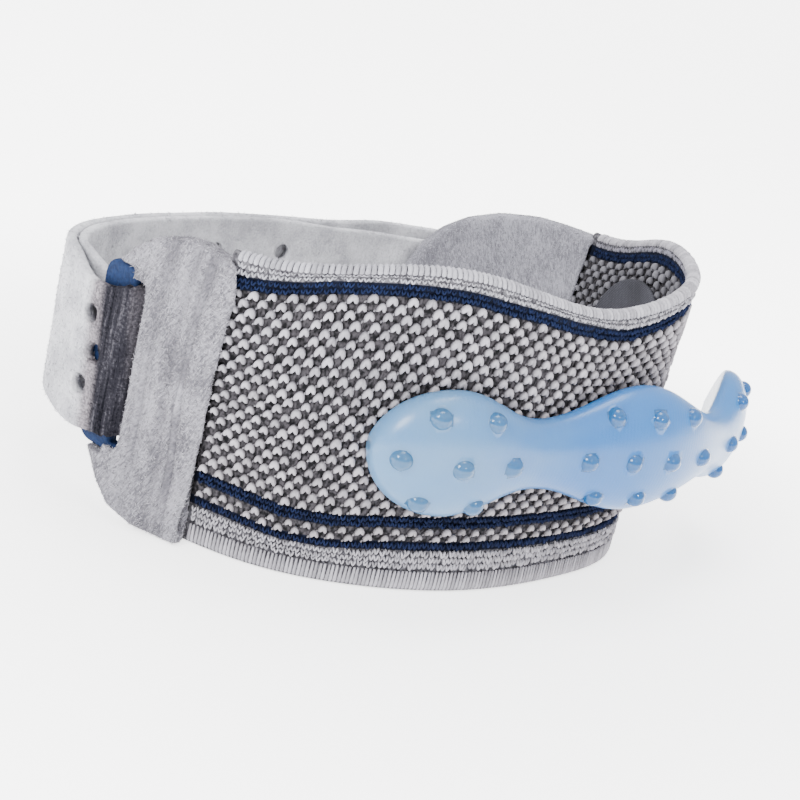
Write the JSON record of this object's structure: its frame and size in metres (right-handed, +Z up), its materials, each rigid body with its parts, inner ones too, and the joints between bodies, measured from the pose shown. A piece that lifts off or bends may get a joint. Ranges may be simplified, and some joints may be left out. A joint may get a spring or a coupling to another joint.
{
  "type": "patella strap",
  "caption": "Knitted knee band with padded tabs at both ends, closed by a perforated fabric strap through a slotted ring, with a studded three-lobed gel pad",
  "frame": {"origin": "on the floor under the middle of the bounding box", "axes": "+Z up with the strap standing on its lower hem, +X along the longer way across the loop, -Y toward the knitted front"},
  "size_m": [0.1504, 0.105, 0.065],
  "materials": {
    "knit_band": "raised two-colour knit with ribbed hems",
    "near_tab": "brushed felt",
    "far_tab": "brushed felt",
    "slot_ring": "matt",
    "closure_strap": "brushed loop fabric",
    "hook_patch": "fine hooks",
    "gel_pad": "clear satin silicone gel",
    "pad_pocket": "smooth jersey"
  },
  "bodies": {
    "root": {"knit_band": "knit_band", "near_tab": "near_tab", "far_tab": "far_tab", "slot_ring": "slot_ring", "closure_strap": "closure_strap", "hook_patch": "hook_patch", "gel_pad": "gel_pad", "pad_pocket": "pad_pocket"}
  },
  "joints": []
}
